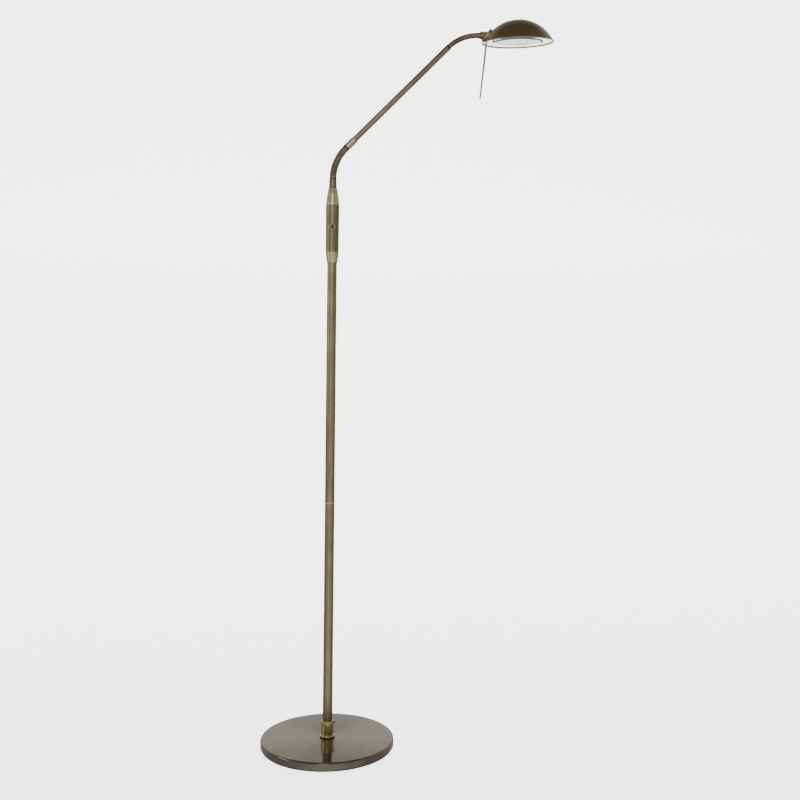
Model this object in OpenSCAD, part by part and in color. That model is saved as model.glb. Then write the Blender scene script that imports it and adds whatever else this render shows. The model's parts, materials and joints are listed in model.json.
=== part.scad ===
// Reading floor lamp: a weighted round base, a two-part pole, a dimmer handle, two flexible
// necks with a straight arm between them, and a domed head with a steering rod.
// Millimetres. Origin on the floor under the pole, +Z up, the arm reaches towards +X.

/* [Base] */
// Outer diameter of the base cover
base_d = 250; // [200:5:300]
// Height of the cover's top above the floor
base_h = 16; // [16:1:24]
// Sheet thickness of the cover
cover_wall = 1.5; // [1:0.1:1.8]
// Radius of the cover's rounded top edge
cover_edge = 3.5; // [2.5:0.5:5]
// Thickness of the felt pad
pad_h = 2.5; // [2:0.5:3]
// How far the pad stays inside the cover
pad_inset = 1.5; // [1:0.5:5]
// Thickness of the bottom plate
plate_h = 1; // [0.8:0.1:1.2]
// Inner radius of the iron ring
weight_bore_r = 20; // [18:1:40]

/* [Cable way] */
// Diameter of the flex inside the lamp
flex_d = 5; // [4:0.2:5]
// Radius of the flex's bend under the pole
flex_bend_r = 6.5; // [6:0.1:6.6]
// Wall of the cable bush
bush_wall = 0.9; // [0.8:0.1:1.2]
// Length of the bush inside the cover
bush_in = 7; // [5:1:10]
// Thickness and height of the bush's outer flange
bush_flange = 2; // [1:0.5:3]

/* [Collar] */
// Wall of the collar around the pole
collar_wall = 2.75; // [2:0.25:4]
// Height of the collar above the cover
collar_h = 30; // [24:1:50]
// Floor of the collar under the pole
collar_floor = 3; // [2:0.5:5]
// How far the foot ring stands out from the collar
foot_ring_step = 2.6; // [1.5:0.1:4]
// Height of the foot ring
foot_ring_h = 4.5; // [3:0.5:6]

/* [Pole] */
// Outer diameter of both pole tubes
pole_d = 18.5; // [15:0.5:24]
// Wall of the pole tubes
pole_wall = 1.2; // [1:0.1:1.5]
// Height of the joint between the two tubes
pole_joint_z = 454; // [300:5:600]
// Height of the joint ring
joint_ring_h = 3; // [2:0.5:5]
// How far the coupler reaches into each tube
coupler_reach = 24; // [15:1:40]
// Length of the plug in the foot of the pole
plug_len = 15; // [10:1:20]

/* [Dimmer handle] */
// Height of the handle's lower cone
handle_z = 911; // [800:5:1100]
// How much wider the handle's foot is than the pole, on the radius
handle_step = 3.25; // [3:0.05:5]
// How much the handle's radius grows towards its top
handle_taper = 0.5; // [0:0.1:1]
// Wall of the handle at its foot
handle_wall = 1.4; // [1:0.1:1.4]
// Length of the handle between its cones
handle_len = 89.5; // [80:0.5:120]
// Height of the lower cone
low_cone_h = 20; // [15:1:30]
// Height of the upper cone
up_cone_h = 29.5; // [27:0.5:40]
// Length of each cone's spigot in the handle
cone_spigot = 8; // [6:1:12]
// Height of the button above the handle's foot
button_z = 47; // [35:1:60]
// Radius of the button
button_r = 3.65; // [3:0.05:4]
// Width of the bezel around the button
bezel_w = 2.25; // [1.5:0.05:2.5]
// How far the bezel stands out of the handle
bezel_proud = 0.5; // [0.3:0.1:1.5]
// Travel of the button
button_travel = 1.2; // [0.6:0.1:1.5]

/* [Neck] */
// Radius of the polished ring under the neck
neck_ring_r = 9.6; // [9:0.1:11]
// Height of that ring
neck_ring_h = 2.5; // [2:0.5:4]
// Height of the neck fitting
neck_h = 19.2; // [15:0.1:25]
// Radius of the neck fitting at its foot
neck_foot_r = 7.7; // [7:0.1:8.5]
// Radius of the neck's turning spigot
neck_spigot_r = 5; // [4:0.1:5.5]
// Radius of the cable hole through the neck
neck_hole_r = 2.2; // [1.5:0.1:2.4]

/* [Lower gooseneck] */
// Radius of its links
low_r = 6.3; // [6:0.1:6.6]
// Radius of its balls
low_ball_r = 4; // [3.6:0.1:4.2]
// Radius of the centre line's curve
low_bend_r = 87; // [80:1:120]
// Angle that it turns the arm away from upright
low_turn = 44; // [20:1:60]
// Clear gap between its links
low_gap = 2; // [2:0.1:2.4]
// Height of a link's mouth above the ball's centre
low_mouth = 2.5; // [2.4:0.1:2.8]

/* [Arm] */
// Distance between the two goosenecks
arm_len = 282.5; // [200:0.5:400]
// Outer diameter of the arm tube
arm_d = 11.4; // [10:0.1:12]
// Wall of the arm tube
arm_wall = 1; // [0.8:0.1:1.2]
// Wall of the sleeve around the arm's foot
sleeve_wall = 1.2; // [0.8:0.1:2]
// Length of the sleeve
sleeve_len = 23; // [15:1:40]
// Length of the dark ring at the arm's tip
tip_ring_len = 3; // [2:0.5:5]
// How far the arm's tip plug reaches into the tube
tip_plug_len = 12; // [8:1:20]

/* [Upper gooseneck] */
// Radius of its links
up_r = 4.9; // [4.6:0.1:5.2]
// Radius of its balls
up_ball_r = 3; // [2.8:0.1:3.3]
// Radius of the centre line's curve
up_bend_r = 82; // [75:1:110]
// Angle that it turns
up_turn = 43.4; // [20:0.1:60]
// Clear gap between its links
up_gap = 1.7; // [1.7:0.1:2]
// Height of a link's mouth above the ball's centre
up_mouth = 2.2; // [2.1:0.1:2.4]

/* [Head joint] */
// Length of the ferrule at the end of the upper gooseneck
ferrule_len = 5.2; // [4:0.1:10]
// Radius of the ferrule
ferrule_r = 5.3; // [5.2:0.1:6]
// Radius of the spigot that the head turns on
spigot_r = 3; // [2.6:0.1:3.2]
// Radius of the cable hole through the head joint
spigot_hole_r = 1.2; // [1:0.1:1.6]
// Radius of the head's hub
hub_r = 6.8; // [6:0.1:8]
// Length of the hub along the axis, up to the shade
hub_reach = 14.1; // [12:0.1:20]
// Radius of the saddle plate on the shade
saddle_r = 14; // [12:0.5:18]
// Thickness of the saddle plate
saddle_h = 3.4; // [2.5:0.1:5]
// How far the head is turned on its spigot
head_roll = 15.2; // [-30:0.1:30]

/* [Shade] */
// Radius of the shade's rim
dome_r = 70; // [60:1:100]
// Height of the dome
dome_h = 42.5; // [38:0.5:60]
// Sheet thickness of the shade
dome_wall = 0.9; // [0.7:0.1:1.2]
// Radius of the rolled rim
bead_r = 1.1; // [0.9:0.1:1.5]
// Height of the turning axis above the rim
axis_drop = 14; // [13:0.5:16]

/* [Lamp] */
// Height of the reflector's flange above the rim
flange_z = 6; // [5:0.5:7]
// Sheet thickness of the reflector
reflector_wall = 0.8; // [0.6:0.1:1]
// Radius of the reflector's mouth
mouth_r = 43; // [30:1:43]
// Radius of the reflector's flat top
crown_r = 30; // [20:1:30]
// Depth of the reflector above its flange
bowl_depth = 20; // [15:1:22]
// Radius of the cover glass
glass_r = 46; // [44:0.5:46]
// Thickness of the cover glass
glass_h = 3; // [2:0.5:3]
// Distance of the glass screws from the middle
screw_reach = 48; // [47:0.5:50]
// Radius of the glass screws' shanks
screw_r = 1.4; // [1:0.1:1.5]
// Radius of the glass screws' heads
screw_head_r = 2.3; // [2:0.1:3]
// Radius of the lamp capsule
capsule_r = 5.5; // [4:0.5:6]
// Length of the lamp capsule
capsule_len = 38; // [25:1:42]

/* [Steering rod] */
// Visible length of the rod
rod_len = 115; // [80:1:150]
// Radius of the rod at its top
rod_top_r = 2.4; // [2:0.1:2.6]
// Radius of the rod above its point
rod_low_r = 1.7; // [1.2:0.1:2]
// Length of the rod's point
rod_point = 8; // [4:1:15]
// Angle of the rod to the head's axis
rod_lean = 6.5; // [0:0.5:10]

/* [Hidden] */

$fn = 96;
// Clearances: two fixed pieces, a turning fit, two faces that pass each other, sheet to sheet
fit = 0.05;
turn_fit = 0.05;
face_gap = 0.3;
seat = 0.1;
// Overlap of two solids that are joined into one piece
weld = 0.5;

// Base stack, from the floor up
plate_top = pad_h + plate_h;
cover_under = base_h - cover_wall;
base_r = base_d / 2;
weight_r = base_r - cover_wall - seat;
plate_r = weight_r;
// Nipple, washer and nut that clamp the pole to the cover
nipple_r = 5;
nipple_bore_r = flex_d / 2 + 1.3;
collar_screw_r = 2;
collar_screw_proud = 1.4;
arm_r = arm_d / 2;
sleeve_r = arm_r + sleeve_wall;
arm_seat = 4;
stem_washer_h = 1;
stem_washer_r = 14;
stem_nut_h = 2.8;
stem_nut_r = 8.5;
nipple_bottom = cover_under - stem_washer_h - stem_nut_h - face_gap;
collar_r = pole_d / 2 + collar_wall;
pole_foot_z = base_h + collar_floor;
nipple_top = pole_foot_z + plug_len - 2;
// Bush and flex
bush_r = flex_d / 2 + 0.25 + bush_wall;
bush_bore_r = flex_d / 2 + 0.25;
cable_z = plate_top + bush_r + seat;
channel_w = 2 * bush_r + 1;
channel_top = cable_z + bush_r + 0.5;
bush_inner_y = base_r - cover_wall - bush_in;
plate_screw_r = 2;
plate_screw_len = 6;
plate_screw_count = 3;
plate_screw_reach = 90;

// Pole and handle
pole_r = pole_d / 2;
pole_bore_r = pole_r - pole_wall;
flex_hole_r = flex_d / 2 + 0.7;
upper_tube_z = pole_joint_z + joint_ring_h;
handle_r = pole_r + handle_step;
handle_top_r = handle_r + handle_taper;
handle_bore_r = handle_r - handle_wall;
handle_foot_z = handle_z + low_cone_h;
handle_top_z = handle_foot_z + handle_len;
upper_tube_end = handle_foot_z - 3;
cone_lip = 0.45;
cone_top_z = handle_top_z + up_cone_h;
cone_roof = 6;
cone_room_r = 8.3;
button_at = handle_foot_z + button_z;
handle_r_at_button = handle_r + handle_taper * button_z / handle_len;
bezel_r = button_r + seat + bezel_w;
bezel_depth = 4.2;
bezel_face = handle_r_at_button + bezel_proud;
button_sink = 0.5;
button_flange_h = 1;
module_r = handle_bore_r - face_gap;
module_flat = 5;
module_len = 62;

// Neck
neck_z = cone_top_z + neck_ring_h + face_gap;
neck_top_z = neck_z + neck_h;
neck_nut_r = 7.4;
neck_nut_h = 4.5;
neck_washer_h = 1;
neck_roof_z = cone_top_z - cone_roof;

// Both goosenecks are chains of ball joints at even steps along a circular arc
JOINTS = 6;
LINKS = JOINTS - 1;
low_step = low_turn / JOINTS;
up_step = up_turn / JOINTS;
low_pitch = 2 * low_bend_r * tan(low_step / 2);
up_pitch = 2 * up_bend_r * tan(up_step / 2);
up_start = low_turn;
head_angle = low_turn + up_turn;
link_hole_r = 1.6;
up_hole_r = spigot_hole_r;
neck_share = 0.68;

// Direction in the XZ plane at an angle from upright
function heading(a) = [sin(a), 0, cos(a)];
// Ball centre number k of a chain that starts at angle a and turns by step at each ball
function ball_at(first, a, step, pitch, k) = k <= 1 ? first
    : ball_at(first, a, step, pitch, k - 1) + pitch * heading(a + (k - 1) * step);

low_first = [0, 0, neck_top_z + low_pitch / 2];
low_last = ball_at(low_first, 0, low_step, low_pitch, JOINTS);
arm_start = low_last + low_pitch / 2 * heading(low_turn);
arm_end = arm_start + arm_len * heading(low_turn);
up_first = arm_end + up_pitch / 2 * heading(up_start);
up_last = ball_at(up_first, up_start, up_step, up_pitch, JOINTS);
ferrule_at = up_last + up_pitch / 2 * heading(head_angle);

// Head: sphere of the dome, measured from the rim plane
sphere_r = (dome_r * dome_r + dome_h * dome_h) / (2 * dome_h);
sphere_drop = sphere_r - dome_h;
inner_sphere_r = sphere_r - dome_wall;
function outer_r_at(z) = sqrt(pow(sphere_r, 2) - pow(z + sphere_drop, 2));
function inner_r_at(z) = sqrt(pow(inner_sphere_r, 2) - pow(z + sphere_drop, 2));
wall_at_axis = outer_r_at(axis_drop);
dome_x = ferrule_len + face_gap + hub_reach + wall_at_axis;
saddle_tilt = 90 - asin((axis_drop + sphere_drop) / sphere_r);
inner_boss_r = 5.4;
inner_boss_len = 7;
inner_boss_end = inner_boss_len - inner_r_at(axis_drop);
boss_screw_r = 1.6;
boss_screw_proud = 1.2;
bracket_h = 1.2;
bracket_w = 10;
tab_end = inner_boss_end + bracket_h;
head_washer_r = 5.1;
head_washer_h = 1;
head_nut_h = 3.4;
spigot_end = tab_end + face_gap + head_washer_h + head_nut_h + 1;
foot_z = flange_z + reflector_wall + seat;
rod_x = rod_top_r + 0.6 - inner_r_at(foot_z + bracket_h);
flange_r = inner_r_at(flange_z + reflector_wall) - 0.6;
post_r = 3;
washer_h = 0.7;
washer_r = 4.2;
glass_z = flange_z - glass_h - seat / 2;
washer_z = glass_z - washer_h - seat / 2;
screw_head_h = 1.3;
crown_z = flange_z + bowl_depth;
holder = [16, 12, 13];
holder_x = -28;
lamp_z = crown_z - seat - holder[2] / 2;

antique = "#7d7454";
polished = "#c7b98a";
bronze = "#6b5a36";
steel = "#b8b8b8";
dark = "#2a2420";
iron = "#4a4a4a";

module tube(r, bore, h) {
    difference() {
        cylinder(r = r, h = h);
        translate([0, 0, -1]) cylinder(r = bore, h = h + 2);
    }
}

module hex_nut(r, bore, h) {
    difference() {
        cylinder(r = r, h = h, $fn = 6);
        translate([0, 0, -1]) cylinder(r = bore, h = h + 2);
    }
}

// ---- Base ----

// Outline of a round-edged disc of radius r and top z, down to z = low
module edge_profile(r, edge, top, low) {
    translate([0, low]) square([r, top - edge - low]);
    translate([0, low]) square([r - edge, top - low]);
    translate([r - edge, top - edge]) circle(r = edge);
}

module base_cover() {
    color(antique) difference() {
        rotate_extrude() difference() {
            edge_profile(base_r, cover_edge, base_h, pad_h);
            edge_profile(base_r - cover_wall, cover_edge - cover_wall, cover_under, pad_h - 1);
        }
        cylinder(r = nipple_r + fit, h = base_h + 1);
        translate([0, 0, cable_z]) rotate([-90, 0, 0]) cylinder(r = bush_r + fit, h = base_d);
    }
}

module base_weight() {
    color(iron) difference() {
        rotate_extrude() difference() {
            edge_profile(weight_r, cover_edge, cover_under - seat, plate_top + seat);
            square([weight_bore_r, base_h]);
        }
        translate([-channel_w / 2, 0, 0]) cube([channel_w, base_d, channel_top]);
        plate_screw_places() cylinder(r = plate_screw_r + fit, h = plate_screw_len + 1);
    }
}

module plate_screw_places() {
    for (i = [0 : plate_screw_count - 1])
        rotate([0, 0, -90 + 360 * i / plate_screw_count])
            translate([plate_screw_reach, 0, pad_h]) children();
}

module base_plate() {
    color(steel) translate([0, 0, pad_h + seat / 2]) difference() {
        cylinder(r = plate_r, h = plate_h);
        translate([0, 0, -pad_h]) plate_screw_places() cylinder(r = plate_screw_r + fit, h = 9);
    }
}

module base_pad() {
    color("#1c1a18") cylinder(r = base_r - pad_inset, h = pad_h);
}

module plate_screws() {
    color(steel) plate_screw_places() translate([0, 0, seat / 2])
        cylinder(r = plate_screw_r, h = plate_screw_len);
}

module cable_bush() {
    color(dark) translate([0, bush_inner_y, cable_z]) rotate([-90, 0, 0]) difference() {
        union() {
            cylinder(r = bush_r, h = bush_in + cover_wall + bush_flange);
            translate([0, 0, bush_in + cover_wall + fit])
                cylinder(r = bush_r + bush_flange, h = bush_flange - fit);
        }
        translate([0, 0, -1]) cylinder(r = bush_bore_r, h = base_d);
    }
}

// The flex runs from the bush to the middle, bends upwards and climbs inside the pole
module inner_flex() {
    flex_r = flex_d / 2;
    rise_z = cable_z + flex_bend_r;
    color(dark) {
        translate([0, flex_bend_r, cable_z]) rotate([-90, 0, 0])
            cylinder(r = flex_r, h = bush_inner_y - seat - flex_bend_r);
        translate([0, flex_bend_r, rise_z]) rotate([0, -90, 0]) rotate([0, 0, 180])
            rotate_extrude(angle = 90) translate([flex_bend_r, 0]) circle(r = flex_r);
        translate([0, 0, rise_z])
            cylinder(r = flex_r, h = button_at - module_len / 2 - seat - rise_z);
    }
}

module stem_nipple() {
    color(steel) translate([0, 0, nipple_bottom])
        tube(nipple_r, nipple_bore_r, nipple_top - nipple_bottom);
}

module stem_washer() {
    color(steel) translate([0, 0, cover_under - stem_washer_h])
        tube(stem_washer_r, nipple_r + fit, stem_washer_h - seat / 2);
}

module stem_nut() {
    color(steel) translate([0, 0, cover_under - stem_washer_h - stem_nut_h])
        hex_nut(stem_nut_r, nipple_r + fit, stem_nut_h - seat / 2);
}

// ---- Collar and pole ----

module collar() {
    lip = 0.8;
    color(antique) translate([0, 0, base_h]) difference() {
        union() {
            cylinder(r = collar_r, h = collar_h - lip);
            translate([0, 0, collar_h - lip]) cylinder(r1 = collar_r, r2 = collar_r - lip, h = lip);
        }
        translate([0, 0, -1]) cylinder(r = nipple_r + fit, h = collar_h);
        translate([0, 0, collar_floor]) cylinder(r = pole_r + fit, h = collar_h);
        collar_screw_place() cylinder(r = collar_screw_r + fit, h = collar_r + 1);
    }
}

module collar_screw_place() {
    translate([0, 0, collar_h - 3.5]) rotate([0, 90, 0]) children();
}

module collar_screw() {
    slot = 0.8;
    color(dark) translate([0, 0, base_h]) collar_screw_place() difference() {
        translate([0, 0, pole_r + seat])
            cylinder(r = collar_screw_r, h = collar_wall + collar_screw_proud - seat);
        translate([-slot / 2, -collar_screw_r, collar_r + collar_screw_proud - slot])
            cube([slot, 2 * collar_screw_r, slot + 1]);
    }
}

module foot_ring() {
    ring_r = collar_r + foot_ring_step;
    round_r = foot_ring_h / 2;
    color(antique) translate([0, 0, base_h]) rotate_extrude() {
        translate([collar_r + fit, 0]) square([ring_r - round_r - collar_r - fit, foot_ring_h]);
        intersection() {
            translate([ring_r - round_r, round_r]) circle(r = round_r);
            translate([collar_r + fit, 0]) square([ring_r, foot_ring_h]);
        }
    }
}

module stem_plug() {
    color(steel) translate([0, 0, pole_foot_z]) tube(pole_bore_r - fit, nipple_r + fit, plug_len);
}

module lower_tube() {
    color(antique) translate([0, 0, pole_foot_z])
        tube(pole_r, pole_bore_r, pole_joint_z - pole_foot_z);
}

module joint_ring() {
    groove = 0.5;
    color(polished) translate([0, 0, pole_joint_z]) rotate_extrude() difference() {
        translate([pole_bore_r, 0]) square([pole_wall + groove, joint_ring_h]);
        translate([pole_r + groove, 0]) circle(r = groove);
        translate([pole_r + groove, joint_ring_h]) circle(r = groove);
    }
}

module pole_coupler() {
    color(steel) translate([0, 0, pole_joint_z - coupler_reach])
        tube(pole_bore_r - fit, flex_hole_r, 2 * coupler_reach + joint_ring_h);
}

module upper_tube() {
    color(antique) translate([0, 0, upper_tube_z])
        tube(pole_r, pole_bore_r, upper_tube_end - upper_tube_z);
}

// ---- Handle ----

module lower_cone() {
    color(polished) translate([0, 0, handle_z]) difference() {
        union() {
            cylinder(r1 = pole_r + cone_lip, r2 = handle_r, h = low_cone_h);
            translate([0, 0, low_cone_h - weld])
                cylinder(r = handle_bore_r - fit, h = cone_spigot + weld);
        }
        translate([0, 0, -1]) cylinder(r = pole_r + fit, h = upper_tube_end - handle_z + 1);
        cylinder(r = pole_bore_r, h = low_cone_h + cone_spigot + 1);
    }
}

module handle_body() {
    color(antique) difference() {
        translate([0, 0, handle_foot_z]) difference() {
            cylinder(r1 = handle_r, r2 = handle_top_r, h = handle_len);
            translate([0, 0, -1]) cylinder(r = handle_bore_r, h = handle_len + 2);
        }
        button_axis() cylinder(r = bezel_r + fit, h = handle_top_r + 5);
    }
}

// Local +Z points out of the handle through the button, towards -Y
module button_axis() {
    translate([0, 0, button_at]) rotate([90, 0, 0]) children();
}

module dimmer_bezel() {
    rounding = 0.5;
    back = bezel_face - bezel_depth;
    color(antique) button_axis() difference() {
        union() {
            translate([0, 0, back]) cylinder(r = bezel_r, h = bezel_depth - rounding);
            translate([0, 0, bezel_face - rounding])
                cylinder(r1 = bezel_r, r2 = bezel_r - rounding, h = rounding);
        }
        cylinder(r = button_r + seat, h = bezel_face + 1);
    }
}

module dimmer_button() {
    flange_r = button_r + 0.8;
    back = bezel_face - bezel_depth - face_gap;
    front = bezel_face - button_sink;
    dish_r = 12;
    color(dark) button_axis() difference() {
        union() {
            translate([0, 0, back - button_flange_h]) cylinder(r = flange_r, h = button_flange_h);
            translate([0, 0, back - weld]) cylinder(r = button_r, h = front - back + weld);
        }
        translate([0, 0, front + dish_r - 0.4]) sphere(r = dish_r);
    }
}

module dimmer_module() {
    nib_r = 1.5;
    nib_face = bezel_face - bezel_depth - face_gap - button_flange_h - button_travel - face_gap;
    color("#3a4a3a") {
        translate([0, 0, button_at - module_len / 2]) difference() {
            cylinder(r = module_r, h = module_len);
            translate([-module_r, -module_r - module_flat, -1])
                cube([2 * module_r, module_r, module_len + 2]);
        }
        button_axis() cylinder(r = nib_r, h = nib_face);
    }
}

module upper_cone() {
    color(polished) translate([0, 0, handle_top_z]) difference() {
        union() {
            cylinder(r1 = handle_top_r, r2 = neck_ring_r - 0.2, h = up_cone_h);
            translate([0, 0, -cone_spigot])
                cylinder(r = handle_bore_r - fit, h = cone_spigot + weld);
        }
        translate([0, 0, -cone_spigot - 1])
            cylinder(r = cone_room_r, h = up_cone_h - cone_roof + cone_spigot + 1);
        cylinder(r = neck_spigot_r + turn_fit, h = up_cone_h + 1);
    }
}

module neck_ring() {
    round_r = neck_ring_h / 2;
    color(polished) translate([0, 0, cone_top_z]) rotate_extrude() {
        translate([neck_spigot_r + turn_fit, 0])
            square([neck_ring_r - round_r - neck_spigot_r - turn_fit, neck_ring_h]);
        intersection() {
            translate([neck_ring_r - round_r, round_r]) circle(r = round_r);
            translate([neck_spigot_r + turn_fit, 0]) square([neck_ring_r, neck_ring_h]);
        }
    }
}

// ---- Neck ----

// Socket that takes a ball at the origin; it is open towards +Z
module socket(ball_r) {
    translate([0, 0, -ball_r - 0.3]) cylinder(r = ball_r + turn_fit, h = 4 * ball_r);
}

module neck_fitting() {
    spigot_len = neck_z - neck_roof_z + face_gap + neck_washer_h + neck_nut_h;
    color(antique) difference() {
        union() {
            translate([0, 0, neck_z]) cylinder(r1 = neck_foot_r, r2 = low_r + 0.3, h = neck_h);
            translate([0, 0, neck_top_z - weld])
                cylinder(r = low_r, h = low_pitch / 2 + low_mouth + weld);
            translate([0, 0, neck_z - spigot_len])
                cylinder(r = neck_spigot_r, h = spigot_len + weld);
        }
        translate([0, 0, neck_z - spigot_len - 1]) cylinder(r = neck_hole_r, h = base_d);
        translate(low_first) socket(low_ball_r);
    }
}

module neck_washer() {
    color(steel) translate([0, 0, neck_roof_z - face_gap - neck_washer_h])
        tube(neck_nut_r, neck_spigot_r + fit, neck_washer_h - seat / 2);
}

module neck_nut() {
    color(steel) translate([0, 0, neck_roof_z - face_gap - neck_washer_h - neck_nut_h])
        hex_nut(neck_nut_r, neck_spigot_r + fit, neck_nut_h - seat / 2);
}

// ---- Goosenecks ----

// Ball at the origin with a neck that reaches up to the face at z = face
module ball_end(ball_r, face) {
    sphere(r = ball_r);
    cylinder(r = ball_r * neck_share, h = face + weld);
}

// One link: its own ball at the origin, and at z = pitch the socket for the next ball
module link(r, ball_r, hole_r, pitch, mouth, gap) {
    difference() {
        union() {
            ball_end(ball_r, mouth + gap);
            translate([0, 0, mouth + gap]) cylinder(r = r, h = pitch - gap);
        }
        translate([0, 0, pitch]) socket(ball_r);
        translate([0, 0, -2 * ball_r]) cylinder(r = hole_r, h = pitch + 2 * ball_r);
    }
}

module low_link(k) {
    color(bronze) translate(ball_at(low_first, 0, low_step, low_pitch, k))
        rotate([0, k * low_step, 0])
            link(low_r, low_ball_r, link_hole_r, low_pitch, low_mouth, low_gap);
}

module up_link(k) {
    color(bronze) translate(ball_at(up_first, up_start, up_step, up_pitch, k))
        rotate([0, up_start + k * up_step, 0])
            link(up_r, up_ball_r, up_hole_r, up_pitch, up_mouth, up_gap);
}

// ---- Arm ----

// Local origin at the foot of the arm, +Z along the arm
module arm_frame() {
    translate(arm_start) rotate([0, low_turn, 0]) children();
}

module arm_sleeve() {
    face = low_mouth + low_gap;
    half = low_pitch / 2;
    lip = 0.4;
    color(polished) arm_frame() difference() {
        union() {
            translate([0, 0, -half]) ball_end(low_ball_r, face);
            translate([0, 0, face - half]) cylinder(r = low_r, h = half - face + weld);
            cylinder(r = sleeve_r, h = sleeve_len - lip);
            translate([0, 0, sleeve_len - lip])
                cylinder(r1 = sleeve_r, r2 = sleeve_r - lip, h = lip);
        }
        translate([0, 0, arm_seat]) cylinder(r = arm_r + fit, h = sleeve_len);
        translate([0, 0, -sleeve_len]) cylinder(r = link_hole_r, h = 2 * sleeve_len);
    }
}

module arm_tube() {
    color(antique) arm_frame() translate([0, 0, arm_seat])
        tube(arm_r, arm_r - arm_wall, arm_len - tip_ring_len - arm_seat);
}

module arm_tip() {
    color(dark) arm_frame() translate([0, 0, arm_len]) difference() {
        union() {
            translate([0, 0, -tip_ring_len]) cylinder(r = arm_r + 0.1, h = tip_ring_len);
            translate([0, 0, -tip_ring_len - tip_plug_len])
                cylinder(r = arm_r - arm_wall - fit, h = tip_plug_len + weld);
            translate([0, 0, -weld]) cylinder(r = up_r, h = weld + up_pitch / 2 + up_mouth);
        }
        translate([0, 0, up_pitch / 2]) socket(up_ball_r);
        translate([0, 0, -2 * tip_plug_len]) cylinder(r = up_hole_r, h = 3 * tip_plug_len);
    }
}

// ---- Head joint ----

// Local origin where the upper gooseneck ends, +X along the head's turning axis
module ferrule_frame() {
    translate(ferrule_at) rotate([0, head_angle - 90, 0]) children();
}

// The same frame turned with the head; local origin at the middle of the shade's rim
module dome_frame() {
    ferrule_frame() rotate([head_roll, 0, 0]) translate([dome_x, 0, -axis_drop]) children();
}

// Local +Z along the turning axis, from the middle of the shade
module axis_frame(x) {
    translate([x, 0, axis_drop]) rotate([0, 90, 0]) children();
}

module head_ferrule() {
    face = up_mouth + up_gap;
    half = up_pitch / 2;
    color(antique) ferrule_frame() rotate([0, 90, 0]) difference() {
        union() {
            translate([0, 0, -half]) ball_end(up_ball_r, face);
            translate([0, 0, face - half]) cylinder(r = up_r, h = half - face + weld);
            cylinder(r = ferrule_r, h = ferrule_len);
            cylinder(r = spigot_r, h = dome_x + spigot_end);
        }
        translate([0, 0, -sleeve_len]) cylinder(r = spigot_hole_r, h = 2 * dome_x);
    }
}

module head_washer() {
    color(steel) dome_frame() axis_frame(tab_end + face_gap)
        tube(head_washer_r, spigot_r + fit, head_washer_h - seat / 2);
}

module head_nut() {
    color(steel) dome_frame() axis_frame(tab_end + face_gap + head_washer_h)
        hex_nut(head_washer_r, spigot_r + fit, head_nut_h);
}

// The hub on the turning axis and the round saddle plate that lies on the shade
module head_boss() {
    hub_x = ferrule_len + face_gap - dome_x;
    sunk = 1.6;
    round_r = saddle_h / 2;
    color(antique) dome_frame() difference() {
        union() {
            axis_frame(hub_x) cylinder(r = hub_r, h = hub_reach + hub_r);
            translate([0, 0, -sphere_drop]) rotate([0, -saddle_tilt, 0])
                translate([0, 0, sphere_r - sunk]) rotate_extrude() {
                    square([saddle_r - round_r, saddle_h + sunk]);
                    square([saddle_r, saddle_h + sunk - round_r]);
                    translate([saddle_r - round_r, saddle_h + sunk - round_r])
                        circle(r = round_r);
                }
        }
        translate([0, 0, -sphere_drop]) sphere(r = sphere_r + fit);
        axis_frame(hub_x - 1) cylinder(r = spigot_r + turn_fit, h = dome_r);
        boss_screw_place() cylinder(r = boss_screw_r + fit, h = hub_r + 1);
    }
}

module boss_screw_place() {
    translate([ferrule_len + face_gap + 3 - dome_x, 0, axis_drop]) children();
}

module boss_screw() {
    slot = 0.6;
    top = hub_r + boss_screw_proud;
    color(dark) dome_frame() boss_screw_place() difference() {
        translate([0, 0, spigot_r + face_gap])
            cylinder(r = boss_screw_r, h = top - spigot_r - face_gap);
        translate([-slot / 2, -boss_screw_r, top - slot]) cube([slot, 2 * boss_screw_r, 1]);
    }
}

module inner_boss() {
    color(steel) dome_frame() difference() {
        intersection() {
            axis_frame(-wall_at_axis) cylinder(r = inner_boss_r, h = wall_at_axis + inner_boss_end);
            translate([0, 0, -sphere_drop]) sphere(r = inner_sphere_r - seat);
        }
        axis_frame(-dome_r) cylinder(r = spigot_r + turn_fit, h = dome_r);
    }
}

// ---- Shade and lamp ----

module shade() {
    color(bronze) dome_frame() difference() {
        rotate_extrude() {
            difference() {
                intersection() {
                    translate([0, -sphere_drop]) circle(r = sphere_r, $fn = 192);
                    square([dome_r + 1, dome_h + 1]);
                }
                translate([0, -sphere_drop]) circle(r = inner_sphere_r, $fn = 192);
            }
            translate([dome_r - bead_r + 0.1, bead_r]) circle(r = bead_r);
        }
        axis_frame(-dome_r - 5) cylinder(r = spigot_r + face_gap, h = dome_r);
    }
}

// An angle piece: its tab is clamped on the turning axis, and its foot holds the rod and a screw
module rod_bracket() {
    foot_end = -(screw_reach - screw_r - 2.4);
    foot_start = rod_x - rod_top_r + 1;
    tab_top = axis_drop + head_washer_r - 0.3;
    color(steel) dome_frame() difference() {
        union() {
            translate([foot_start, -bracket_w / 2, foot_z])
                cube([foot_end - foot_start, bracket_w, bracket_h]);
            translate([inner_boss_end + seat / 2, -bracket_w / 2, foot_z])
                cube([bracket_h - seat / 2, bracket_w, tab_top - foot_z]);
        }
        axis_frame(-dome_r) cylinder(r = spigot_r + face_gap, h = dome_r);
        translate([rod_x, 0, 0]) cylinder(r = rod_low_r + fit, h = dome_h);
        translate([-screw_reach, 0, 0]) cylinder(r = screw_r + fit, h = dome_h / 2);
    }
}

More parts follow.
